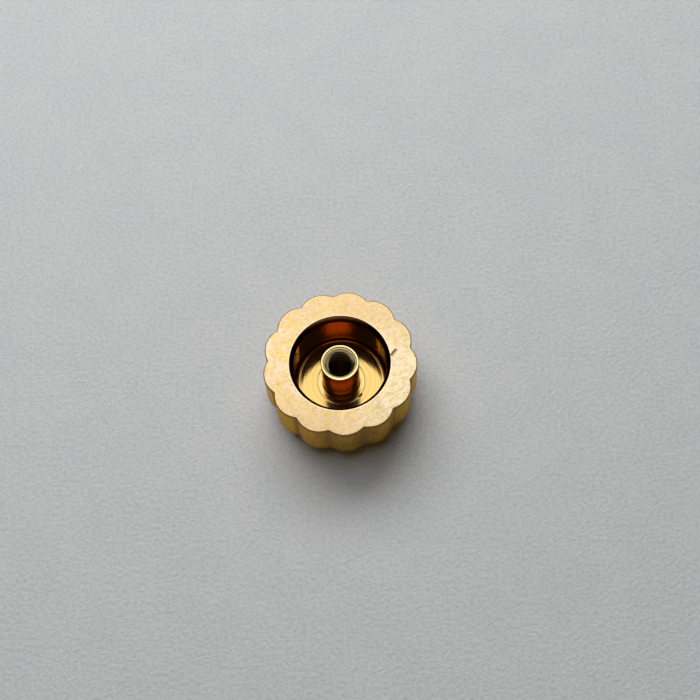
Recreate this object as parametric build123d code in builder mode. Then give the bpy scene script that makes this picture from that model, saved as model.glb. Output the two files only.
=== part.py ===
from build123d import *
import math
import os

# A watch crown that lies on its outer end, with its open side up. All sizes are in millimetres.
# The origin is the centre of the outer end, and +Z runs along the stem's axis, out of the open side.

# Recess that takes the watch case's own tube
recess_diameter = 2.92
recess_depth = 1.65
recess_corner_round = 0.10
chamfer_width = 0.12
chamfer_depth = 0.17

# Outside of the cap: the rim's width is measured from the chamfer to the valleys between the lobes
rim_width = 0.66
flute_depth = 0.16
lobe_count = 13
rim_edge_round = 0.03
floor_thickness = 0.75
end_round_height = 0.95
end_round_width = 1.10
end_round_steps = 8

# Tapped bore of the stem tube
thread_diameter = 0.90
thread_pitch = 0.225
thread_angle = 60
countersink_width = 0.125
countersink_angle = 90

# Stem tube, with a foot that stands in a socket in the recess's floor
tube_wall = 0.15
tube_end_drop = 0.02
tube_end_round = 0.02
foot_width = 0.16
foot_rise = 0.02
foot_round = 0.02
socket_depth = 0.24

# Braze that fills the gap round the foot and rises in a hollow bead, which covers a little of the floor
braze_gap = 0.03
bead_overlap = 0.02

# How deep the thread is cut, as a share of its pitch
thread_depth_share = 0.44
# Where the bead's hollow face is lowest, as a share of the bead's width and rise
bead_hollow_share = 0.35

# Places that follow from the sizes above
recess_radius = recess_diameter / 2
mouth_radius = recess_radius + chamfer_width
valley_radius = mouth_radius + rim_width
peak_radius = valley_radius + flute_depth
crown_height = floor_thickness + recess_depth
outer_end_radius = peak_radius - end_round_width
thread_radius = thread_diameter / 2
core_radius = thread_radius - thread_pitch * thread_depth_share
countersink_radius = core_radius + countersink_width
countersink_depth = countersink_width / math.tan(math.radians(countersink_angle / 2))
tube_radius = thread_radius + tube_wall
tube_top = crown_height - tube_end_drop
foot_radius = tube_radius + foot_width
foot_top = floor_thickness + foot_rise
socket_radius = foot_radius + braze_gap
socket_floor = floor_thickness - socket_depth
bead_radius = socket_radius + bead_overlap
thread_top = tube_top - countersink_depth
thread_turns = int((thread_top - socket_floor) / thread_pitch)

os.makedirs("parts", exist_ok=True)


def polar_point(radius, angle):
    """The point at this radius and at this angle in degrees from the +X axis."""
    return radius * math.cos(math.radians(angle)), radius * math.sin(math.radians(angle))


def write(piece, name):
    """Labels a finished piece and writes its STEP file."""
    piece.part.label = name
    export_step(piece.part, f"parts/{name}.step")


# Crown cap: a scalloped body whose flutes follow the rounding down to its flat outer end.
# The other end is hollowed out.
lobe_angle = 360 / lobe_count


def draw_lobes(size_share):
    """Draws the lobes' closed outline at a share of its full size."""
    for lobe in range(lobe_count):
        middle = lobe * lobe_angle
        ThreePointArc(
            polar_point(valley_radius * size_share, middle - lobe_angle / 2),
            polar_point(peak_radius * size_share, middle),
            polar_point(valley_radius * size_share, middle + lobe_angle / 2),
        )


with BuildSketch(Plane.XZ) as recess_outline:
    with BuildLine():
        Polyline(
            (0, crown_height),
            (mouth_radius, crown_height),
            (recess_radius, crown_height - chamfer_depth),
            (recess_radius, floor_thickness + recess_corner_round),
        )
        RadiusArc(
            (recess_radius, floor_thickness + recess_corner_round),
            (recess_radius - recess_corner_round, floor_thickness),
            recess_corner_round,
        )
        Polyline(
            (recess_radius - recess_corner_round, floor_thickness),
            (socket_radius, floor_thickness),
            (socket_radius, socket_floor),
            (0, socket_floor),
            (0, crown_height),
        )
    make_face()

with BuildPart() as crown_cap:
    with BuildSketch(Plane.XY.offset(end_round_height)):
        with BuildLine():
            draw_lobes(1)
        make_face()
    extrude(amount=crown_height - end_round_height)
    fillet(crown_cap.faces().sort_by(Axis.Z)[-1].edges(), radius=rim_edge_round)
    for step in range(end_round_steps + 1):
        turn = math.radians(90 * step / end_round_steps)
        with BuildSketch(Plane.XY.offset(end_round_height * (1 - math.cos(turn)))):
            with BuildLine():
                draw_lobes((outer_end_radius + end_round_width * math.sin(turn)) / peak_radius)
            make_face()
    loft()
    add(recess_outline.sketch)
    revolve(axis=Axis.Z, mode=Mode.SUBTRACT)

write(crown_cap, "crown_cap")

# Stem tube: turned with its foot, countersunk and tapped. Each turn of the thread is a ring-shaped V groove.
groove_half_mouth = (thread_radius - core_radius) * math.tan(math.radians(thread_angle / 2))


def groove_points(turn):
    """The three corners of one turn's V groove, from the top down."""
    middle = thread_top - thread_pitch * (turn + 1 / 2)
    return [
        (core_radius, middle + groove_half_mouth),
        (thread_radius, middle),
        (core_radius, middle - groove_half_mouth),
    ]


with BuildSketch(Plane.XZ) as tube_outline:
    with BuildLine():
        bore_points = [(core_radius, thread_top)]
        for turn in range(thread_turns):
            bore_points += groove_points(turn)
        Polyline(*bore_points, (core_radius, socket_floor))
        Polyline(
            (core_radius, socket_floor),
            (foot_radius, socket_floor),
            (foot_radius, foot_top),
            (tube_radius + foot_round, foot_top),
        )
        RadiusArc((tube_radius + foot_round, foot_top), (tube_radius, foot_top + foot_round), foot_round)
        Line((tube_radius, foot_top + foot_round), (tube_radius, tube_top - tube_end_round))
        RadiusArc(
            (tube_radius, tube_top - tube_end_round),
            (tube_radius - tube_end_round, tube_top),
            -tube_end_round,
        )
        Polyline((tube_radius - tube_end_round, tube_top), (countersink_radius, tube_top), (core_radius, thread_top))
    make_face()

with BuildPart() as stem_tube:
    add(tube_outline.sketch)
    revolve(axis=Axis.Z)

write(stem_tube, "stem_tube")

# Braze ring: a thin sleeve in the gap round the foot, with its bead on the recess's floor
bead_width = bead_radius - foot_radius
bead_hollow = (foot_radius + bead_width * bead_hollow_share, floor_thickness + foot_rise * bead_hollow_share)

with BuildSketch(Plane.XZ) as braze_outline:
    with BuildLine():
        Polyline(
            (foot_radius, foot_top),
            (foot_radius, socket_floor),
            (socket_radius, socket_floor),
            (socket_radius, floor_thickness),
            (bead_radius, floor_thickness),
        )
        ThreePointArc((bead_radius, floor_thickness), bead_hollow, (foot_radius, foot_top))
    make_face()

with BuildPart() as braze_ring:
    add(braze_outline.sketch)
    revolve(axis=Axis.Z)

write(braze_ring, "braze_ring")
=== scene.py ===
"""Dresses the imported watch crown: a scalloped gold-plated cap with a tapped stem tube brazed into it."""

from __future__ import annotations

import logging
import math
from dataclasses import dataclass, field
from enum import Enum, IntEnum

import bmesh
import bpy
import numpy as np
from mathutils import Matrix, Vector

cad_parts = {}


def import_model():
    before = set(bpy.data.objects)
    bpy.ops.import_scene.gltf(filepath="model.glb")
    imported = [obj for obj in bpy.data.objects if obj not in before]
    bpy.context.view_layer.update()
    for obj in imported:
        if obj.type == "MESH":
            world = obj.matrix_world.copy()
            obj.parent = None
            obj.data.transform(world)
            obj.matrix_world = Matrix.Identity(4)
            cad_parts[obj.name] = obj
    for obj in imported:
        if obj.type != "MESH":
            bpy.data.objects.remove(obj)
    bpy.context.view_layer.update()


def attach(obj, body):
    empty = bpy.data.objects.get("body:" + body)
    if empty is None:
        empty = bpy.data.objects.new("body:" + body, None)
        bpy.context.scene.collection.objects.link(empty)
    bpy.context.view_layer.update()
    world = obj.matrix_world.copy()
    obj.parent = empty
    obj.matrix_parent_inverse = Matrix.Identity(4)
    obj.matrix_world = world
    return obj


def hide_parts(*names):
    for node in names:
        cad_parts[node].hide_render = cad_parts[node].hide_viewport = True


MILLIMETRE = 0.001
WELD_DISTANCE = 1e-8
FULL_TURN = 2 * math.pi
BODY = "root"
EDGE_TINT = (0.85, 0.62, 0.30)
MIX_FACTOR, MIX_LOW, MIX_HIGH = 0, 6, 7

log = logging.getLogger("watch_crown")


# Shader graph

class Shade:
    """A socket of a shader graph, on which Python's operators add Math nodes."""

    def __init__(self, graph: Graph, socket: bpy.types.NodeSocket) -> None:
        """Keeps the graph and the socket."""
        self.graph = graph
        self.socket = socket

    def __add__(self, other: Amount) -> Shade:
        """The sum of both."""
        return self.graph.maths("ADD", self, other)

    def __radd__(self, other: Amount) -> Shade:
        """The sum of both."""
        return self.graph.maths("ADD", other, self)

    def __sub__(self, other: Amount) -> Shade:
        """This less the other."""
        return self.graph.maths("SUBTRACT", self, other)

    def __rsub__(self, other: Amount) -> Shade:
        """The other less this."""
        return self.graph.maths("SUBTRACT", other, self)

    def __mul__(self, other: Amount) -> Shade:
        """The product of both."""
        return self.graph.maths("MULTIPLY", self, other)

    def __rmul__(self, other: Amount) -> Shade:
        """The product of both."""
        return self.graph.maths("MULTIPLY", other, self)

    def part(self, name: str) -> Shade:
        """Another output of the same node."""
        return Shade(self.graph, self.socket.node.outputs[name])


Amount = Shade | float
Colour = tuple[float, float, float]


class Graph:
    """The node tree of one material or of the world."""

    def __init__(self, tree: bpy.types.NodeTree) -> None:
        """Empties the tree and keeps it."""
        self.tree = tree
        self.tree.nodes.clear()

    def node(self, kind: str, settings: dict[str, object], sockets: dict[str | int, object]) -> Shade:
        """Adds one node: its settings first, then what its sockets take.

        Args:
            kind: The node's type, without the ShaderNode in front of it.
            settings: The node's own properties.
            sockets: Values or links for its inputs, by name or by number.

        Returns:
            The node's first output that is in use, or the node's first output.
        """
        made = self.tree.nodes.new("ShaderNode" + kind)
        for name, value in settings.items():
            setattr(made, name, value)
        for name, value in sockets.items():
            socket = made.inputs[name]
            if isinstance(value, Shade):
                self.tree.links.new(value.socket, socket)
            elif isinstance(value, tuple) and socket.type == "RGBA":
                socket.default_value = (*value, 1.0)
            else:
                socket.default_value = value
        shown = [output for output in made.outputs if output.enabled]
        return Shade(self, shown[0] if shown else None)

    def maths(self, operation: str, *values: Amount) -> Shade:
        """Adds a Math node on one to three values."""
        return self.node("Math", {"operation": operation}, dict(enumerate(values)))

    def vector(self, operation: str, *values: object) -> Shade:
        """Adds a Vector Math node on vectors."""
        return self.node("VectorMath", {"operation": operation}, dict(enumerate(values)))

    def blend(self, factor: Amount, low: Shade | Colour, high: Shade | Colour) -> Shade:
        """Mixes two colours.

        Args:
            factor: How much of the second colour shows, from 0 to 1.
            low: The colour where the factor is 0.
            high: The colour where it is 1.

        Returns:
            The mixed colour.
        """
        return self.node("Mix", {"data_type": "RGBA"}, {MIX_FACTOR: factor, MIX_LOW: low, MIX_HIGH: high})

    def step(self, value: Amount, start: float, end: float) -> Shade:
        """A smooth step from 0 at start to 1 at end, which may be the lower of the two.

        Args:
            value: What is stepped.
            start: Where the step is 0.
            end: Where the step is 1.

        Returns:
            The step.
        """
        settings = {"interpolation_type": "SMOOTHSTEP"}
        low, high, low_out, high_out = (start, end, 0.0, 1.0) if start < end else (end, start, 1.0, 0.0)
        sockets = {"Value": value, "From Min": low, "From Max": high, "To Min": low_out, "To Max": high_out}
        return self.node("MapRange", settings, sockets)

    def noise(self, place: Shade, scale: float, detail: float = 2.0, rough: float = 0.5) -> Shade:
        """Smooth noise around one half.

        Args:
            place: Where it is read, in millimetres.
            scale: Bumps to the millimetre.
            detail: Finer octaves that are added.
            rough: The weight of each octave against the one before.

        Returns:
            The noise's value.
        """
        sockets = {"Vector": place, "Scale": scale, "Detail": detail, "Roughness": rough}
        return self.node("TexNoise", {}, sockets)

    def millimetres(self) -> Shade:
        """The place on the piece, in millimetres."""
        place = self.node("TexCoord", {}, {}).part("Object")
        return self.node("VectorMath", {"operation": "SCALE"}, {0: place, "Scale": 1 / MILLIMETRE})

    def squeezed(self, place: Shade, stretch: Colour, turn: float = 0.0) -> Shade:
        """A place turned about Z and then scaled along each axis, for long streaks.

        Args:
            place: The place in millimetres.
            stretch: The scale along each axis.
            turn: The streaks' angle from the X axis, in degrees.

        Returns:
            The changed place.
        """
        turned = self.node(
            "VectorRotate",
            {"rotation_type": "Z_AXIS"},
            {"Vector": place, "Angle": -math.radians(turn)},
        )
        return self.vector("MULTIPLY", turned, stretch)

    def from_axis(self, place: Shade) -> Shade:
        """How far the place lies from the stem's axis, in millimetres."""
        flat = self.vector("MULTIPLY", place, (1.0, 1.0, 0.0))
        return self.node("VectorMath", {"operation": "LENGTH"}, {0: flat}).part("Value")

    def bump(self, height: Shade, depth_mm: float) -> Shade:
        """A normal that follows a height map.

        Args:
            height: The height, from 0 to 1.
            depth_mm: The height of 1, in millimetres.

        Returns:
            The bumped normal.
        """
        sockets = {"Height": height, "Distance": depth_mm * MILLIMETRE, "Strength": 1.0}
        return self.node("Bump", {}, sockets)


# Finishes

@dataclass(frozen=True)
class Finish:
    """A metal finish, with what all of them share."""

    name: str
    colour: Colour
    roughness: float

    def looks(self, graph: Graph) -> dict[str, object]:
        """What the shader's sockets take."""
        return {"Base Color": self.colour, "Roughness": self.roughness}

    def material(self) -> bpy.types.Material:
        """Makes the finish's material.

        Returns:
            The material.
        """
        made = bpy.data.materials.new(self.name)
        made.use_nodes = True
        graph = Graph(made.node_tree)
        sockets = {"Metallic": 1.0, "Specular Tint": EDGE_TINT, **self.looks(graph)}
        surface = graph.node("BsdfPrincipled", {}, sockets)
        graph.node("OutputMaterial", {}, {"Surface": surface})
        return made


@dataclass(frozen=True)
class SatinRim(Finish):
    """Gold plate over a lapped face: mottled, finely scratched, with a nick at the mouth, painted paler
    towards one side as a highlight and duller at front and back as shade.
    """

    blush: Colour = (0.96, 0.72, 0.50)
    straw: Colour = (0.95, 0.69, 0.23)
    cream: Colour = (1.0, 0.90, 0.64)
    scratch: Colour = (0.62, 0.42, 0.20)
    dull_smear_and_shade: Colour = (0.72, 0.49, 0.22)
    nick_colour: Colour = (0.42, 0.24, 0.10)
    # The two directions along which the rim is painted lighter (a painted highlight) and darker (painted
    # shade).
    painted_highlight_towards: Colour = (0.98, -0.20, 0.0)
    painted_shade_along: Colour = (0.10, 0.99, 0.0)
    painted_shade_lead: float = 0.3
    nick: Nick | None = None

    def looks(self, graph: Graph) -> dict[str, object]:
        """Mottled colour, scratches along the lapping, the nick's brown, a painted highlight towards one side
        and painted shade towards the front and back.

        Args:
            graph: The material's graph.

        Returns:
            What the shader's sockets take.
        """
        place = graph.millimetres()
        clouds = graph.noise(place, 1.7, 3.0, 0.6)
        patches = graph.noise(place, 3.6, 3.0, 0.65)
        flecks = graph.noise(place, 22.0, 2.0, 0.7)
        lapping = graph.noise(graph.squeezed(place, (5.0, 75.0, 5.0), 4.0), 1.0, 3.0, 0.7)
        strays = graph.noise(graph.squeezed(place, (3.0, 55.0, 3.0), 62.0), 1.0, 2.0, 0.6)
        smears = graph.noise(graph.squeezed(place, (5.0, 7.0, 5.0), 20.0), 1.0, 3.0, 0.65)
        along = graph.vector("DOT_PRODUCT", place, self.painted_highlight_towards).part("Value")
        back = graph.vector("DOT_PRODUCT", place, self.painted_shade_along).part("Value")
        to_shaded_ends = graph.maths("ABSOLUTE", back + self.painted_shade_lead)
        colour = graph.blend(graph.step(clouds, 0.44, 0.58), self.colour, self.straw)
        colour = graph.blend(graph.step(patches, 0.48, 0.58), colour, self.blush)
        # Painted highlight: cream towards one side of the rim.
        colour = graph.blend(graph.step(along, -0.2, 2.2) * 0.55, colour, self.cream)
        # Painted shade: duller towards the rim's front and back; the same colour also makes the random smears
        # below.
        colour = graph.blend(graph.step(to_shaded_ends, 0.6, 2.2) * 0.6, colour, self.dull_smear_and_shade)
        colour = graph.blend(graph.step(smears, 0.60, 0.34) * 0.60, colour, self.dull_smear_and_shade)
        colour = graph.blend(graph.step(flecks, 0.50, 0.72) * 0.4, colour, self.cream)
        colour = graph.blend(graph.step(flecks, 0.50, 0.32) * 0.55, colour, self.scratch)
        colour = graph.blend(graph.step(strays, 0.60, 0.74) * 0.5, colour, self.cream)
        colour = graph.blend(graph.step(lapping, 0.44, 0.25) * 0.45, colour, self.scratch)
        if self.nick:
            colour = graph.blend(self.nick.mask(graph, place), colour, self.nick_colour)
        roughness = self.roughness + (lapping - 0.5) * 0.2 + (clouds - 0.5) * 0.1
        height = lapping * 0.6 + strays * 0.2 + flecks * 0.3
        return {"Base Color": colour, "Roughness": roughness, "Normal": graph.bump(height, 0.003)}


@dataclass(frozen=True)
class PolishedWall(Finish):
    """The recess's polished wall, with faint marks of turning round it."""

    tarnish: Colour = (0.62, 0.30, 0.07)

    def looks(self, graph: Graph) -> dict[str, object]:
        """Faint rings at steady heights and a little tarnish.

        Args:
            graph: The material's graph.

        Returns:
            What the shader's sockets take.
        """
        place = graph.millimetres()
        rings = graph.noise(graph.squeezed(place, (0.6, 0.6, 30.0)), 1.0, 3.0, 0.6)
        smudges = graph.noise(place, 3.0, 3.0, 0.6)
        colour = graph.blend(graph.step(smudges, 0.45, 0.7) * 0.6, self.colour, self.tarnish)
        roughness = self.roughness + smudges * 0.06 + rings * 0.05
        return {"Base Color": colour, "Roughness": roughness, "Normal": graph.bump(rings, 0.0008)}


@dataclass(frozen=True)
class TubeSide(PolishedWall):
    """The tube's side: a polished wall, painted darker towards the tube's end as shade inside the recess."""

    dark: Colour = (0.24, 0.09, 0.02)
    dark_from: float = 1.90
    dark_to: float = 2.25

    def looks(self, graph: Graph) -> dict[str, object]:
        """A polished wall's looks, with painted shade near the end.

        Args:
            graph: The material's graph.

        Returns:
            What the shader's sockets take.
        """
        looks = super().looks(graph)
        height = graph.node("SeparateXYZ", {}, {0: graph.millimetres()}).part("Z")
        # Painted shade: darker towards the top of the tube's side.
        colour = graph.blend(graph.step(height, self.dark_from, self.dark_to), looks["Base Color"], self.dark)
        return {**looks, "Base Color": colour}


@dataclass(frozen=True)
class TurnedFloor(Finish):
    """The recess's floor, with fine rings from the tool that turned it, the pale ones painted as ring
    highlights.
    """

    line: Colour = (0.40, 0.22, 0.05)
    # The colour of the painted ring highlights.
    pale: Colour = (0.90, 0.70, 0.32)

    def looks(self, graph: Graph) -> dict[str, object]:
        """Rings that differ in width, some darker and some paler, the paler ones a painted highlight.

        Args:
            graph: The material's graph.

        Returns:
            What the shader's sockets take.
        """
        place = graph.millimetres()
        wander = graph.noise(place, 1.2, 1.0) * 0.05
        distance = graph.from_axis(place) + wander
        across = graph.node("CombineXYZ", {}, {"X": distance})
        broad = graph.noise(across, 11.0, 2.0, 0.6)
        fine = graph.noise(across, 60.0, 2.0, 0.7)
        smudges = graph.noise(place, 5.0, 2.0, 0.6)
        colour = graph.blend(graph.step(broad, 0.60, 0.34) * 0.32, self.colour, self.line)
        colour = graph.blend(graph.step(fine, 0.52, 0.32) * 0.25, colour, self.line)
        # Painted highlight: pale rings where the turned rings would catch the light.
        colour = graph.blend(graph.step(fine, 0.52, 0.72) * 0.6, colour, self.pale)
        roughness = self.roughness + (fine - 0.5) * 0.05 + (smudges - 0.5) * 0.05
        height = broad * 0.7 + fine * 0.3
        return {"Base Color": colour, "Roughness": roughness, "Normal": graph.bump(height, 0.0007)}


@dataclass(frozen=True)
class FlutedSide(Finish):
    """The flutes: plate with upright tool marks, random smudges, and painted shade in the valleys and under
    the rim's edge.
    """

    lobes: int = 13
    # One brown serves the random smudges and the painted shade.
    grime_and_shade: Colour = (0.30, 0.18, 0.07)
    shade_line_from: float = 2.23
    shade_line_to: float = 2.32

    def looks(self, graph: Graph) -> dict[str, object]:
        """Upright streaks, a painted brown shade line in each valley and another under the rim's edge.

        Args:
            graph: The material's graph.

        Returns:
            What the shader's sockets take.
        """
        place = graph.millimetres()
        split = graph.node("SeparateXYZ", {}, {0: place})
        angle = graph.maths("ARCTAN2", split.part("Y"), split.part("X"))
        crest = graph.maths("COSINE", angle * float(self.lobes))
        streaks = graph.noise(graph.squeezed(place, (28.0, 28.0, 1.6)), 1.0, 3.0, 0.6)
        smudges = graph.noise(place, 4.0, 3.0, 0.6)
        # Painted shade: a brown line down each valley between the lobes.
        valley_shade = graph.step(crest + (smudges - 0.5) * 0.3, -0.78, -0.97)
        colour = graph.blend(graph.step(smudges, 0.4, 0.7) * 0.4, self.colour, self.grime_and_shade)
        colour = graph.blend(valley_shade * 0.8, colour, self.grime_and_shade)
        # Painted shade: a dark band just under the rim's rounded edge.
        rim_edge_shade = graph.step(split.part("Z"), self.shade_line_from, self.shade_line_to)
        colour = graph.blend(rim_edge_shade * 0.8, colour, self.grime_and_shade)
        roughness = self.roughness + (streaks - 0.5) * 0.2 + valley_shade * 0.25
        return {"Base Color": colour, "Roughness": roughness, "Normal": graph.bump(streaks, 0.002)}


@dataclass(frozen=True)
class RingedEnd(Finish):
    """A turned end with rings round the axis and a few stray scratches."""

    line: Colour = (0.42, 0.34, 0.16)
    ring_scale: float = 30.0
    depth_mm: float = 0.003

    def looks(self, graph: Graph) -> dict[str, object]:
        """Rings, smudges and scratches.

        Args:
            graph: The material's graph.

        Returns:
            What the shader's sockets take.
        """
        place = graph.millimetres()
        across = graph.node("CombineXYZ", {}, {"X": graph.from_axis(place)})
        rings = graph.noise(across, self.ring_scale, 2.0, 0.6)
        smudges = graph.noise(place, 8.0, 3.0, 0.6)
        scratches = graph.noise(graph.squeezed(place, (2.0, 45.0, 2.0), 35.0), 1.0, 2.0, 0.6)
        colour = graph.blend(graph.step(rings, 0.48, 0.30) * 0.7, self.colour, self.line)
        colour = graph.blend(graph.step(smudges, 0.55, 0.8) * 0.4, colour, self.line)
        roughness = self.roughness + (smudges - 0.5) * 0.2 + (rings - 0.5) * 0.1
        height = rings * 0.7 + scratches * 0.3
        return {"Base Color": colour, "Roughness": roughness, "Normal": graph.bump(height, self.depth_mm)}


@dataclass(frozen=True)
class TappedBore(RingedEnd):
    """The bore, painted dark as the shade down the hole, with a paler, rougher countersink above its thread.
    """

    countersink: Colour = (0.64, 0.48, 0.24)
    countersink_roughness: float = 0.16
    countersink_floor: float = 2.255

    def looks(self, graph: Graph) -> dict[str, object]:
        """The bore's looks, changed above the countersink's lower edge.

        Args:
            graph: The material's graph.

        Returns:
            What the shader's sockets take.
        """
        looks = super().looks(graph)
        height = graph.node("SeparateXYZ", {}, {0: graph.millimetres()}).part("Z")
        above = graph.step(height, self.countersink_floor - 0.01, self.countersink_floor)
        colour = graph.blend(above, looks["Base Color"], self.countersink)
        roughness = looks["Roughness"] + (self.countersink_roughness - self.roughness) * above
        return {**looks, "Base Color": colour, "Roughness": roughness}


@dataclass(frozen=True)
class BrazeMetal(Finish):
    """Braze that has run: lumpy and bright, with dark specks of flux."""

    flux: Colour = (0.16, 0.10, 0.05)

    def looks(self, graph: Graph) -> dict[str, object]:
        """Lumps and specks.

        Args:
            graph: The material's graph.

        Returns:
            What the shader's sockets take.
        """
        place = graph.millimetres()
        lumps = graph.noise(place, 12.0, 3.0, 0.6)
        specks = graph.noise(place, 24.0, 2.0, 0.6)
        colour = graph.blend(graph.step(specks, 0.66, 0.74) * 0.7, self.colour, self.flux)
        roughness = self.roughness + (lumps - 0.5) * 0.15
        return {"Base Color": colour, "Roughness": roughness, "Normal": graph.bump(lumps, 0.0015)}


@dataclass(frozen=True)
class PaleSheet:
    """The pale grey sheet that the crown lies on."""

    name: str = "pale_sheet"
    colour: Colour = (0.632, 0.636, 0.645)
    shade: Colour = (0.610, 0.628, 0.634)
    light_grain: Colour = (0.70, 0.71, 0.70)
    dark_grain: Colour = (0.53, 0.54, 0.53)
    speck: Colour = (0.86, 0.87, 0.87)
    roughness: float = 0.8
    gloss: float = 0.05
    grain_depth: float = 0.045

    def material(self) -> bpy.types.Material:
        """Makes a sheet with a fine grain and faint clouds.

        Returns:
            The material.
        """
        made = bpy.data.materials.new(self.name)
        made.use_nodes = True
        graph = Graph(made.node_tree)
        place = graph.millimetres()
        grain = graph.noise(place, 8.0, 3.0, 0.65)
        clouds = graph.noise(place, 0.55, 2.0, 0.5)
        specks = graph.noise(place, 13.0, 1.0, 0.5)
        colour = graph.blend(graph.step(clouds, 0.42, 0.58), self.colour, self.shade)
        colour = graph.blend(graph.step(grain, 0.42, 0.68) * 0.45, colour, self.light_grain)
        colour = graph.blend(graph.step(grain, 0.54, 0.30) * 0.45, colour, self.dark_grain)
        colour = graph.blend(graph.step(specks, 0.73, 0.80), colour, self.speck)
        sockets = {
            "Base Color": colour,
            "Roughness": self.roughness,
            "Specular IOR Level": self.gloss,
            "Normal": graph.bump(grain, self.grain_depth),
        }
        surface = graph.node("BsdfPrincipled", {}, sockets)
        graph.node("OutputMaterial", {}, {"Surface": surface})
        return made


# Turned skins

Extent = float | np.ndarray


@dataclass
class Skin:
    """Rows of points round the stem's axis, in millimetres, that are joined into quads."""

    name: str
    columns: np.ndarray
    radii: list[np.ndarray] = field(default_factory=list)
    heights: list[np.ndarray] = field(default_factory=list)
    zones: list[int] = field(default_factory=list)

    def row(self, radius: Extent, height: Extent, zone: int) -> None:
        """Adds a row.

        Args:
            radius: How far each of its points is from the axis.
            height: How high each of them is.
            zone: The finish of the faces from this row to the next.
        """
        self.radii.append(np.broadcast_to(radius, self.columns.shape))
        self.heights.append(np.broadcast_to(height, self.columns.shape))
        self.zones.append(int(zone))

    def object(self, finishes: list[Finish]) -> bpy.types.Object:
        """Joins the rows into an object at the origin, smooth-shaded and welded.

        Args:
            finishes: The finish of each zone, in the zones' order.

        Returns:
            The object, linked to the scene.
        """
        radii, heights = np.array(self.radii), np.array(self.heights)
        points = np.stack([radii * np.cos(self.columns), radii * np.sin(self.columns), heights], axis=-1)
        points = points.reshape(-1, 3) * MILLIMETRE
        rows, count = radii.shape
        first = (np.arange(rows - 1)[:, None] * count + np.arange(count - 1)[None, :]).ravel()
        quads = np.stack([first, first + 1, first + count + 1, first + count], axis=-1)
        mesh = bpy.data.meshes.new(self.name)
        mesh.from_pydata(points.tolist(), [], quads.tolist())
        for finish in finishes:
            mesh.materials.append(finish.material())
        mesh.polygons.foreach_set("material_index", np.repeat(self.zones[:-1], count - 1))
        mesh.polygons.foreach_set("use_smooth", np.ones(len(quads), dtype=bool))
        tidy = bmesh.new()
        tidy.from_mesh(mesh)
        bmesh.ops.remove_doubles(tidy, verts=tidy.verts, dist=WELD_DISTANCE)
        tidy.to_mesh(mesh)
        tidy.free()
        made = bpy.data.objects.new(self.name, mesh)
        bpy.context.scene.collection.objects.link(made)
        return made


def drift(columns: np.ndarray, seed: int, size: float, slowest: int = 2, orders: int = 6) -> np.ndarray:
    """A smooth wander round the axis that closes on itself.

    Args:
        columns: The angles at which it is read.
        seed: The seed of its draws.
        size: About how far it goes to each side.
        slowest: The fewest waves in a turn.
        orders: How many wave counts are added.

    Returns:
        The wander at each angle.
    """
    draws = np.random.default_rng(seed)
    total = np.zeros_like(columns)
    for order in range(slowest, slowest + orders):
        phase = draws.uniform(0, FULL_TURN)
        total += draws.normal() * np.cos(order * columns + phase)
    return total * size / math.sqrt(orders)


def eased(count: int) -> np.ndarray:
    """Shares from 0 to 1 that lie closer together near both ends."""
    even = np.linspace(0, 1, count)
    return 0.5 * even + 0.5 * (0.5 - 0.5 * np.cos(math.pi * even))


# Sub-assemblies

class CapZone(IntEnum):
    """The parts of the cap that are finished differently."""

    OUTER_END = 0
    FLUTES = 1
    RIM = 2
    MOUTH = 3
    CHAMFER = 4
    WALL = 5
    FLOOR = 6


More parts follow.
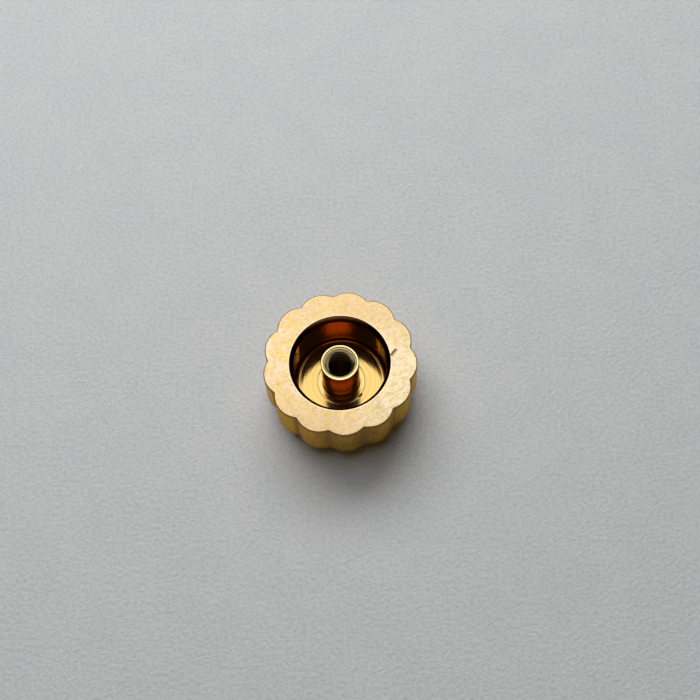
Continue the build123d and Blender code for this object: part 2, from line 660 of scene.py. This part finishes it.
@dataclass(frozen=True)
class Nick:
    """A small gouge that runs from the mouth's edge out across the rim."""

    start: tuple[float, float] = (1.588, 0.250)
    end: tuple[float, float] = (1.772, 0.499)
    width: float = 0.100
    depth: float = 0.010
    shaded_share: float = 0.80
    shaded_lead: float = 0.02
    fade_length: float = 0.10
    hollow_power: float = 0.6
    rim_band: float = 0.1
    refined_ends: tuple[float, float] = (0.05, 0.04)
    moved_ends: tuple[float, float] = (0.06, 0.02)
    refinements: int = 2

    def lengthwise(self) -> tuple[Vector, float]:
        """The direction of the gouge and its length."""
        run = Vector(self.end) - Vector(self.start)
        return run.normalized(), run.length

    def mask(self, graph: Graph, place: Shade) -> Shade:
        """Where a shader shows the gouge.

        Args:
            graph: The material's graph.
            place: The place in millimetres.

        Returns:
            1 in the gouge and 0 outside it.
        """
        along, length = self.lengthwise()
        offset = graph.vector("SUBTRACT", place, (*self.start, 0.0))
        run = graph.vector("DOT_PRODUCT", offset, (along.x, along.y, 0.0)).part("Value")
        side = graph.vector("DOT_PRODUCT", offset, (-along.y, along.x, 0.0)).part("Value")
        far = graph.maths("ABSOLUTE", side)
        near_line = graph.step(far, self.width * 0.5, self.width * 0.35)
        before_end = graph.step(run, length, length * self.shaded_share)
        return near_line * before_end * graph.step(run, -self.shaded_lead, 0.0)

    def cut(self, mesh: bpy.types.Mesh, rim_height: float) -> None:
        """Presses the gouge into the rim.

        Args:
            mesh: The cap's mesh.
            rim_height: The height of the rim, in millimetres.
        """
        along, length = self.lengthwise()
        across = Vector((-along.y, along.x))
        work = bmesh.new()
        work.from_mesh(mesh)

        def local(point: Vector) -> tuple[float, float]:
            """How far along and across the gouge a point is."""
            offset = point.xy / MILLIMETRE - Vector(self.start)
            return offset.dot(along), offset.dot(across)

        def is_near(face: bmesh.types.BMFace) -> bool:
            """Whether the face touches the gouge's surroundings."""
            run, side = local(face.calc_center_median())
            height = face.calc_center_median().z / MILLIMETRE
            before, after = self.refined_ends
            within = -before < run < length + after and abs(side) < self.width
            return within and height > rim_height - self.rim_band

        before, after = self.moved_ends
        for _ in range(self.refinements):
            edges = {edge for face in work.faces if is_near(face) for edge in face.edges}
            bmesh.ops.subdivide_edges(work, edges=list(edges), cuts=1, use_grid_fill=True)
        for point in work.verts:
            run, side = local(point.co)
            high = point.co.z > (rim_height - self.rim_band) * MILLIMETRE
            if high and -before < run < length + after and abs(side) < self.width / 2:
                profile = math.cos(math.pi * side / self.width) ** self.hollow_power
                fade = min(1.0, max(0.0, (length - run) / self.fade_length))
                point.co.z -= self.depth * profile * fade * MILLIMETRE
        work.to_mesh(mesh)
        work.free()


@dataclass
class CrownCap:
    """The cap: a scalloped body with a round recess, open at the top."""

    lobes: int = 13
    peak_radius: float = 2.41
    valley_radius: float = 2.25
    height: float = 2.40
    rim_edge_round: float = 0.03
    outer_end_radius: float = 1.30
    end_round_height: float = 0.95
    end_round_width: float = 1.10
    recess_radius: float = 1.46
    floor_height: float = 0.75
    corner_round: float = 0.10
    chamfer_width: float = 0.12
    chamfer_depth: float = 0.17
    mouth_round: float = 0.012
    socket_radius: float = 0.79
    socket_floor: float = 0.51
    valley_softness: float = 0.055
    points_to_a_lobe: int = 36
    edge_steps: int = 5
    lip_steps: int = 4
    corner_steps: int = 10
    burnish_width: float = 0.014
    flute_wobble: float = 0.0012
    lip_wobble: float = 0.0008
    wall_ripple: float = 0.0003
    floor_ripple: float = 0.0002
    nick: Nick = field(default_factory=Nick)

    def columns(self) -> np.ndarray:
        """The angles of the mesh's columns, closer together near the valleys.

        Returns:
            The angles, from one valley round to the same one.
        """
        half = math.pi / self.lobes
        even = np.linspace(-1, 1, self.points_to_a_lobe + 1)[:-1]
        within = half * (0.5 * even + 0.5 * np.sin(even * math.pi / 2))
        middles = np.arange(self.lobes) * 2 * half
        angles = (middles[:, None] + within[None, :]).ravel()
        return np.append(angles, angles[0] + FULL_TURN)

    def outline(self, columns: np.ndarray) -> np.ndarray:
        """The lobed outline, with its valleys softened a little.

        Args:
            columns: The angles at which it is read.

        Returns:
            The outline's radius at each angle.
        """
        half = math.pi / self.lobes
        off = np.mod(columns + half, 2 * half) - half
        chord = self.valley_radius * math.sin(half)
        rise = self.peak_radius - self.valley_radius * math.cos(half)
        arc = (chord**2 + rise**2) / (2 * rise)
        centre = self.peak_radius - arc
        radius = centre * np.cos(off) + np.sqrt(arc**2 - (centre * np.sin(off)) ** 2)
        to_valley = (half - np.abs(off)) * self.valley_radius
        soft = self.valley_softness
        edge = half - soft / self.valley_radius
        edge_radius = centre * math.cos(edge) + math.sqrt(arc**2 - (centre * math.sin(edge)) ** 2)
        slope = (edge_radius - self.valley_radius) / soft
        softened = edge_radius - slope * soft / 2 + slope * to_valley**2 / (2 * soft)
        return np.where(to_valley < soft, softened, radius)

    def build(self, finishes: list[Finish]) -> bpy.types.Object:
        """Builds the cap's skin from its outer end, over the rim and down to the socket.

        Args:
            finishes: The finish of each zone.

        Returns:
            The cap.
        """
        columns = self.columns()
        skin = Skin("crown_cap_skin", columns)
        outline = self.outline(columns)
        self.add_outer_end(skin, outline)
        self.add_flutes(skin, outline)
        self.add_rim(skin, outline)
        self.add_recess(skin)
        made = skin.object(finishes)
        self.nick.cut(made.data, self.height)
        return made

    def add_outer_end(self, skin: Skin, outline: np.ndarray) -> None:
        """Adds the flat outer end and the rounding that the flutes follow up to their sides.

        Args:
            skin: The skin that takes the rows.
            outline: The lobed outline.
        """
        lobes = outline / self.peak_radius
        for share in (0.0, 0.3, 0.6, 0.85, 0.97):
            skin.row(self.outer_end_radius * lobes * share, 0.0, CapZone.OUTER_END)
        for share in np.linspace(0, 1, 26)[:-1]:
            angle = math.pi / 2 * share
            reach = self.outer_end_radius + self.end_round_width * math.sin(angle)
            skin.row(lobes * reach, self.end_round_height * (1 - math.cos(angle)), CapZone.FLUTES)

    def add_flutes(self, skin: Skin, outline: np.ndarray) -> None:
        """Adds the flutes' sides.

        Args:
            skin: The skin that takes the rows.
            outline: The lobed outline.
        """
        foot = self.end_round_height
        top = self.height - self.rim_edge_round
        for share in eased(18):
            wobble = drift(skin.columns, 11, self.flute_wobble) * share
            skin.row(outline + wobble, foot + (top - foot) * share, CapZone.FLUTES)

    def add_rim(self, skin: Skin, outline: np.ndarray) -> None:
        """Adds the rounded edge, the rim and the burnished edge of the mouth.

        Args:
            skin: The skin that takes the rows.
            outline: The lobed outline.
        """
        edge = self.rim_edge_round
        for step in range(1, self.edge_steps + 1):
            angle = math.pi / 2 * step / self.edge_steps
            radius = outline - edge * (1 - math.cos(angle))
            skin.row(radius, self.height - edge + edge * math.sin(angle), CapZone.FLUTES)
        skin.zones[-1] = int(CapZone.RIM)
        outer = outline - edge
        mouth = self.recess_radius + self.chamfer_width
        inner = mouth + self.mouth_round + self.burnish_width
        for share in np.concatenate([[0.01], eased(34)[1:-1], [0.99]]):
            skin.row(outer + (inner - outer) * share, self.height, CapZone.RIM)
        skin.row(inner, self.height, CapZone.MOUTH)
        lip = self.mouth_round + drift(skin.columns, 23, self.lip_wobble, 3, 12)
        for step in range(self.lip_steps + 1):
            angle = math.pi / 4 * step / self.lip_steps
            radius = mouth + lip * (1 - math.sin(angle))
            skin.row(radius, self.height - lip * (1 - math.cos(angle)), CapZone.MOUTH)
        skin.zones[-1] = int(CapZone.CHAMFER)
        foot = self.recess_radius + self.mouth_round * (1 - math.cos(math.pi / 4))
        drop = self.chamfer_depth + self.mouth_round * math.sin(math.pi / 4)
        start, sunk = radius, lip * (1 - math.cos(math.pi / 4))
        for share in eased(6)[1:]:
            height = self.height - sunk - (drop - sunk) * share
            skin.row(start + (foot - start) * share, height, CapZone.CHAMFER)
        skin.zones[-1] = int(CapZone.WALL)

    def add_recess(self, skin: Skin) -> None:
        """Adds the recess's wall, its corner, its floor and the socket under the stem tube.

        Args:
            skin: The skin that takes the rows.
        """
        top = self.height - self.chamfer_depth - 2 * self.mouth_round
        foot = self.floor_height + self.corner_round
        draws = np.random.default_rng(5)
        for share in eased(30):
            ripple = draws.normal() * self.wall_ripple
            skin.row(self.recess_radius + ripple, top + (foot - top) * share, CapZone.WALL)
        for step in range(1, self.corner_steps + 1):
            angle = math.pi / 2 * step / self.corner_steps
            radius = self.recess_radius - self.corner_round * (1 - math.cos(angle))
            skin.row(radius, foot - self.corner_round * math.sin(angle), CapZone.WALL)
        # A narrow ring at the floor's edge takes the mouth's pale finish: a painted highlight line.
        skin.zones[-1] = int(CapZone.MOUTH)
        edge = self.recess_radius - self.corner_round
        skin.row(edge - 0.012, self.floor_height + 0.0012, CapZone.MOUTH)
        skin.row(edge - 0.022, self.floor_height, CapZone.FLOOR)
        inner = self.socket_radius + 0.004
        outer = edge - 0.034
        for share in np.linspace(0, 1, 52):
            ripple = draws.normal() * self.floor_ripple
            skin.row(outer + (inner - outer) * share, self.floor_height + ripple, CapZone.FLOOR)
        skin.row(self.socket_radius, self.floor_height - 0.004, CapZone.FLOOR)
        skin.row(self.socket_radius, self.socket_floor, CapZone.FLOOR)
        skin.row(self.socket_radius * 0.5, self.socket_floor, CapZone.FLOOR)
        skin.row(0.0, self.socket_floor, CapZone.FLOOR)

    def dress(self) -> list[Finish]:
        """The finish of each zone.

        Returns:
            The finishes, in the zones' order.
        """
        return [
            RingedEnd("outer_end_plate", (0.86, 0.62, 0.27), 0.22, (0.60, 0.38, 0.14), 12.0, 0.002),
            # The flutes' base colour is darker than the rim's: painted shade on the sides.
            FlutedSide("fluted_plate", (0.76, 0.50, 0.17), 0.26),
            SatinRim("satin_rim", (0.92, 0.69, 0.33), 0.32, nick=self.nick),
            # The mouth's and the floor edge's finish: burnished smooth, with its pale colour a painted
            # highlight.
            PolishedWall("burnished_edge_painted_highlight", (0.95, 0.76, 0.52), 0.16, (0.86, 0.60, 0.34)),
            # The chamfer's and the recess wall's colours are darkened far below gold's: painted shade inside
            # the recess.
            PolishedWall("polished_chamfer", (0.26, 0.11, 0.03), 0.05, (0.20, 0.08, 0.02)),
            PolishedWall("polished_recess", (0.43, 0.20, 0.05), 0.02, (0.46, 0.19, 0.04)),
            TurnedFloor("turned_floor", (0.69, 0.46, 0.15), 0.11),
        ]


class TubeZone(IntEnum):
    """The parts of the stem tube that are finished differently."""

    SIDE = 0
    END = 1
    THREAD = 2
    FOOT = 3


@dataclass
class StemTube:
    """The stem tube: a foot in the cap's socket and a post with a tapped bore."""

    core_radius: float = 0.351
    thread_radius: float = 0.45
    pitch: float = 0.225
    thread_angle: float = 60.0
    countersink_radius: float = 0.476
    radius: float = 0.60
    top: float = 2.38
    end_round: float = 0.02
    ring_groove_radius: float = 0.498
    foot_radius: float = 0.76
    foot_top: float = 0.753
    foot_round: float = 0.02
    bottom: float = 0.51
    first_groove: float = 2.20
    cut_share: float = 0.93
    round_steps: int = 5
    side_ripple: float = 0.0004
    ring_groove: tuple[tuple[float, float], ...] = (
        (0.017, 0.0),
        (0.010, 0.006),
        (0.0, 0.011),
        (-0.010, 0.006),
        (-0.016, 0.001),
    )
    points_round: int = 240
    points_to_a_pitch: int = 20

    def groove(self, phase: np.ndarray) -> np.ndarray:
        """How far the thread is cut into the bore at a share of its pitch.

        Args:
            phase: The share of the pitch, 0 in the middle of a groove.

        Returns:
            The cut's depth, in millimetres.
        """
        from_middle = np.abs(np.mod(phase + 0.5, 1.0) - 0.5) * self.pitch
        full = self.thread_radius - self.core_radius
        depth = full - from_middle / math.tan(math.radians(self.thread_angle / 2))
        return np.clip(depth, 0.0, full * self.cut_share)

    def build(self, finishes: list[Finish]) -> bpy.types.Object:
        """Builds the tube's skin: foot, side, end, countersink, thread and underside.

        Args:
            finishes: The finish of each zone.

        Returns:
            The stem tube.
        """
        columns = np.linspace(0, FULL_TURN, self.points_round + 1)
        skin = Skin("stem_tube_skin", columns)
        for share in (0.0, 0.5, 0.98):
            skin.row(self.foot_radius, self.bottom + (self.foot_top - self.bottom) * share, TubeZone.SIDE)
        skin.row(self.foot_radius - 0.006, self.foot_top, TubeZone.FOOT)
        shoulder = self.radius + self.foot_round
        for share in (0.1, 0.5, 0.9):
            skin.row(self.foot_radius + (shoulder - self.foot_radius) * share, self.foot_top, TubeZone.FOOT)
        for step in range(self.round_steps + 1):
            angle = math.pi / 2 * step / self.round_steps
            radius = shoulder - self.foot_round * math.sin(angle)
            skin.row(radius, self.foot_top + self.foot_round * (1 - math.cos(angle)), TubeZone.SIDE)
        low, high = self.foot_top + self.foot_round, self.top - self.end_round
        draws = np.random.default_rng(8)
        for share in eased(34)[1:]:
            ripple = draws.normal() * self.side_ripple
            skin.row(self.radius + ripple, low + (high - low) * share, TubeZone.SIDE)
        for step in range(1, self.round_steps + 1):
            angle = math.pi / 2 * step / self.round_steps
            radius = self.radius - self.end_round * (1 - math.cos(angle))
            skin.row(radius, high + self.end_round * math.sin(angle), TubeZone.SIDE)
        skin.zones[-1] = int(TubeZone.END)
        for inset in (0.002, 0.020, 0.030):
            skin.row(self.radius - self.end_round - inset, self.top, TubeZone.END)
        for offset, sunk in self.ring_groove:
            skin.row(self.ring_groove_radius + offset, self.top - sunk, TubeZone.END)
        skin.row(self.countersink_radius + 0.002, self.top - 0.002, TubeZone.END)
        self.add_thread(skin)
        skin.row(self.foot_radius, self.bottom, TubeZone.SIDE)
        return skin.object(finishes)

    def add_thread(self, skin: Skin) -> None:
        """Adds the bore's rows, which climb with the right-hand thread.

        Args:
            skin: The skin that takes the rows.
        """
        climb = self.pitch * skin.columns / FULL_TURN
        turns = math.ceil((self.top - self.bottom) / self.pitch) + 2
        middle = self.first_groove
        for level in range(turns * self.points_to_a_pitch):
            rise = self.pitch * (2 - level / self.points_to_a_pitch)
            height = np.clip(middle + rise + climb - self.pitch, self.bottom, self.top)
            phase = (height - middle - climb) / self.pitch
            threaded = self.core_radius + self.groove(phase)
            cone = self.countersink_radius - (self.top - height)
            skin.row(np.maximum(threaded, cone), height, TubeZone.THREAD)

    def dress(self) -> list[Finish]:
        """The finish of each zone.

        Returns:
            The finishes, in the zones' order.
        """
        return [
            # The tube side's deep red-brown colour is painted shade inside the recess.
            TubeSide("tube_side", (0.54, 0.25, 0.07), 0.07, (0.42, 0.17, 0.05)),
            RingedEnd("tube_end", (0.94, 0.75, 0.36), 0.26, (0.60, 0.45, 0.19), 24.0, 0.0008),
            # The bore's dark colours are painted shade down the hole.
            TappedBore("tapped_bore", (0.20, 0.13, 0.05), 0.32, (0.12, 0.07, 0.03), 20.0, 0.001),
            TurnedFloor("tube_foot", (0.76, 0.52, 0.18), 0.15),
        ]


@dataclass
class BrazeRing:
    """The braze: a thin sleeve in the gap round the foot, with a hollow bead on the floor."""

    inner_radius: float = 0.76
    outer_radius: float = 0.79
    bead_radius: float = 0.81
    floor_height: float = 0.75
    bead_top: float = 0.753
    bottom: float = 0.51
    hollow: float = 0.35
    blob_angle: float = -35.8
    blob_width: float = 0.07
    blob_reach: float = 0.02
    blob_lift: float = 0.014
    most_reach: float = 0.03
    points_round: int = 360

    def build(self, finishes: list[Finish]) -> bpy.types.Object:
        """Builds the ring's skin.

        Args:
            finishes: The ring's one finish.

        Returns:
            The braze ring.
        """
        columns = np.linspace(0, FULL_TURN, self.points_round + 1)
        skin = Skin("braze_ring_skin", columns)
        off = np.mod(columns - math.radians(self.blob_angle) + math.pi, FULL_TURN) - math.pi
        blob = np.exp(-((off / self.blob_width) ** 2))
        reach = drift(columns, 31, 0.002, 3, 14) + blob * self.blob_reach
        lift = drift(columns, 32, 0.0002, 3, 14) + blob * self.blob_lift
        skin.row(self.outer_radius, self.bottom, 0)
        skin.row(self.outer_radius, self.floor_height - 0.002, 0)
        toe = np.minimum(self.bead_radius + reach, self.bead_radius + self.most_reach)
        skin.row(toe, self.floor_height - 0.001, 0)
        for share in eased(10)[1:]:
            bow = 4 * share * (1 - share) * (0.5 - self.hollow) * (self.bead_top - self.floor_height)
            radius = toe + (self.inner_radius - toe) * share - bow
            height = self.floor_height + (self.bead_top + lift - self.floor_height) * share - bow
            skin.row(radius, height, 0)
        skin.row(self.inner_radius, self.bottom, 0)
        skin.row(self.outer_radius, self.bottom, 0)
        return skin.object(finishes)

    def dress(self) -> list[Finish]:
        """The ring's one finish."""
        return [BrazeMetal("braze_metal", (0.66, 0.45, 0.18), 0.20)]


# Studio

def heading(azimuth: float, elevation: float) -> Vector:
    """The direction towards a place round the object.

    Args:
        azimuth: Degrees from +Y towards +X.
        elevation: Degrees above the sheet.

    Returns:
        The direction, of length 1.
    """
    turn, tilt = math.radians(azimuth), math.radians(elevation)
    return Vector((math.sin(turn) * math.cos(tilt), math.cos(turn) * math.cos(tilt), math.sin(tilt)))


class LampShape(Enum):
    """The outline of a lamp."""

    ELLIPSE = "ELLIPSE"
    RECTANGLE = "RECTANGLE"


@dataclass(frozen=True)
class Lamp:
    """A soft lamp that shines on the sheet, on metal or on both."""

    name: str
    azimuth: float
    elevation: float
    distance: float
    half_width: float
    half_height: float
    radiance: float
    on_sheet: bool = True
    on_metal: bool = True
    shape: LampShape = LampShape.ELLIPSE

    def hang(self) -> None:
        """Hangs the lamp, turned to the crown."""
        data = bpy.data.lights.new(self.name, "AREA")
        data.shape = self.shape.value
        data.size = 2 * self.half_width * MILLIMETRE
        data.size_y = 2 * self.half_height * MILLIMETRE
        data.energy = 4 * self.radiance * math.pi * self.half_width * self.half_height * MILLIMETRE**2
        lamp = bpy.data.objects.new(self.name, data)
        towards = heading(self.azimuth, self.elevation)
        lamp.location = towards * self.distance * MILLIMETRE
        lamp.rotation_euler = towards.to_track_quat("Z", "Y").to_euler()
        lamp.visible_camera = False
        lamp.visible_diffuse = self.on_sheet
        lamp.visible_glossy = self.on_metal
        bpy.context.scene.collection.objects.link(lamp)


@dataclass
class Studio:
    """The sheet, the lamps, the room round them and the camera."""

    camera_azimuth: float = 5.9
    camera_elevation: float = 67.9
    camera_roll: float = 4.6
    picture_side: float = 700.0
    focal_pixels: float = 1266.0
    pixels_to_a_millimetre: float = 32.2
    rim_centre: tuple[float, float] = (339.8, 362.3)
    rim_height: float = 2.40
    sensor_width: float = 36.0
    lamps: tuple[Lamp, ...] = (
        Lamp("key_lamp", -14.0, 51.8, 95.0, 57.0, 28.0, 3.6, on_metal=False),
        Lamp("fill_lamp", -60.0, 80.0, 90.0, 30.0, 30.0, 2.05, on_metal=False),
        Lamp("metal_lamp", -8.0, 60.0, 90.0, 24.0, 32.0, 1.6, on_sheet=False, shape=LampShape.RECTANGLE),
        Lamp("left_glint", 51.0, 67.0, 90.0, 1.6, 1.0, 5.0, on_sheet=False),
        Lamp("right_glint", -68.0, 67.0, 90.0, 2.5, 1.0, 3.6, on_sheet=False),
    )
    sheet_half: float = 70.0
    overhead: Colour = (0.03, 0.03, 0.03)
    upper_room: Colour = (0.34, 0.34, 0.34)
    eye_level: Colour = (0.50, 0.51, 0.52)

    def add_sheet(self) -> bpy.types.Object:
        """Lays the sheet under the crown.

        Returns:
            The sheet.
        """
        half = self.sheet_half * MILLIMETRE
        mesh = bpy.data.meshes.new("sheet")
        corners = [(-half, -half, 0), (half, -half, 0), (half, half, 0), (-half, half, 0)]
        mesh.from_pydata(corners, [], [(0, 1, 2, 3)])
        mesh.materials.append(PaleSheet().material())
        sheet = bpy.data.objects.new("sheet", mesh)
        bpy.context.scene.collection.objects.link(sheet)
        return sheet

    def add_room(self) -> None:
        """Surrounds the crown with a room that is pale at eye level and dark overhead."""
        world = bpy.data.worlds.new("room")
        bpy.context.scene.world = world
        world.use_nodes = True
        world.cycles_visibility.diffuse = False
        graph = Graph(world.node_tree)
        towards = graph.node("TexCoord", {}, {}).part("Generated")
        height = graph.node("SeparateXYZ", {}, {0: towards}).part("Z")
        colour = graph.blend(graph.step(height, 0.80, 0.55), self.overhead, self.upper_room)
        colour = graph.blend(graph.step(height, 0.30, 0.12), colour, self.eye_level)
        surface = graph.node("Background", {}, {"Color": colour, "Strength": 1.0})
        graph.node("OutputWorld", {}, {"Surface": surface})

    def add_camera(self) -> None:
        """Stands the camera where the photograph was taken from."""
        angles = (self.camera_azimuth, self.camera_elevation, self.camera_roll)
        turn, tilt, roll = (math.radians(angle) for angle in angles)
        side = Vector((math.cos(turn), math.sin(turn), 0))
        away = Vector((-math.sin(turn), math.cos(turn), 0))
        forward = away * math.cos(tilt) - Vector((0, 0, math.sin(tilt)))
        lift = away * math.sin(tilt) + Vector((0, 0, math.cos(tilt)))
        right = side * math.cos(roll) - lift * math.sin(roll)
        up = side * math.sin(roll) + lift * math.cos(roll)
        rim = Vector((0, 0, self.rim_height))
        place = rim - forward * self.focal_pixels / self.pixels_to_a_millimetre
        across = (self.picture_side / 2 - self.rim_centre[0]) / self.pixels_to_a_millimetre
        above = (self.rim_centre[1] - self.picture_side / 2) / self.pixels_to_a_millimetre
        sight = (rim + right * across + up * above - place).normalized()
        right = (right - sight * right.dot(sight)).normalized()
        up = right.cross(sight)
        turned = Matrix((right, up, -sight)).transposed().to_4x4()
        data = bpy.data.cameras.new("camera")
        data.sensor_width = self.sensor_width
        data.lens = self.focal_pixels / self.picture_side * self.sensor_width
        data.clip_start = MILLIMETRE
        camera = bpy.data.objects.new("camera", data)
        camera.matrix_world = Matrix.Translation(place * MILLIMETRE) @ turned
        bpy.context.scene.collection.objects.link(camera)
        bpy.context.scene.camera = camera

    def build(self) -> None:
        """Sets up everything round the crown."""
        bpy.context.scene.view_settings.view_transform = "Standard"
        self.add_sheet()
        for lamp in self.lamps:
            lamp.hang()
        self.add_room()
        self.add_camera()


def place_piece(piece: bpy.types.Object, node: str) -> None:
    """Puts a finished piece in its node's stead and reports it.

    Args:
        piece: The piece.
        node: The CAD node that it stands for.
    """
    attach(piece, BODY)
    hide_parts(node)
    log.info("%s stands for %s with %d faces", piece.name, node, len(piece.data.polygons))


def main() -> None:
    """Builds the studio and the crown's pieces in order."""
    logging.basicConfig(level=logging.INFO, format="%(name)s: %(message)s")
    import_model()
    Studio().build()
    cap = CrownCap()
    place_piece(cap.build(cap.dress()), "crown_cap")
    tube = StemTube()
    place_piece(tube.build(tube.dress()), "stem_tube")
    braze = BrazeRing()
    place_piece(braze.build(braze.dress()), "braze_ring")


if __name__ == "__main__":
    main()
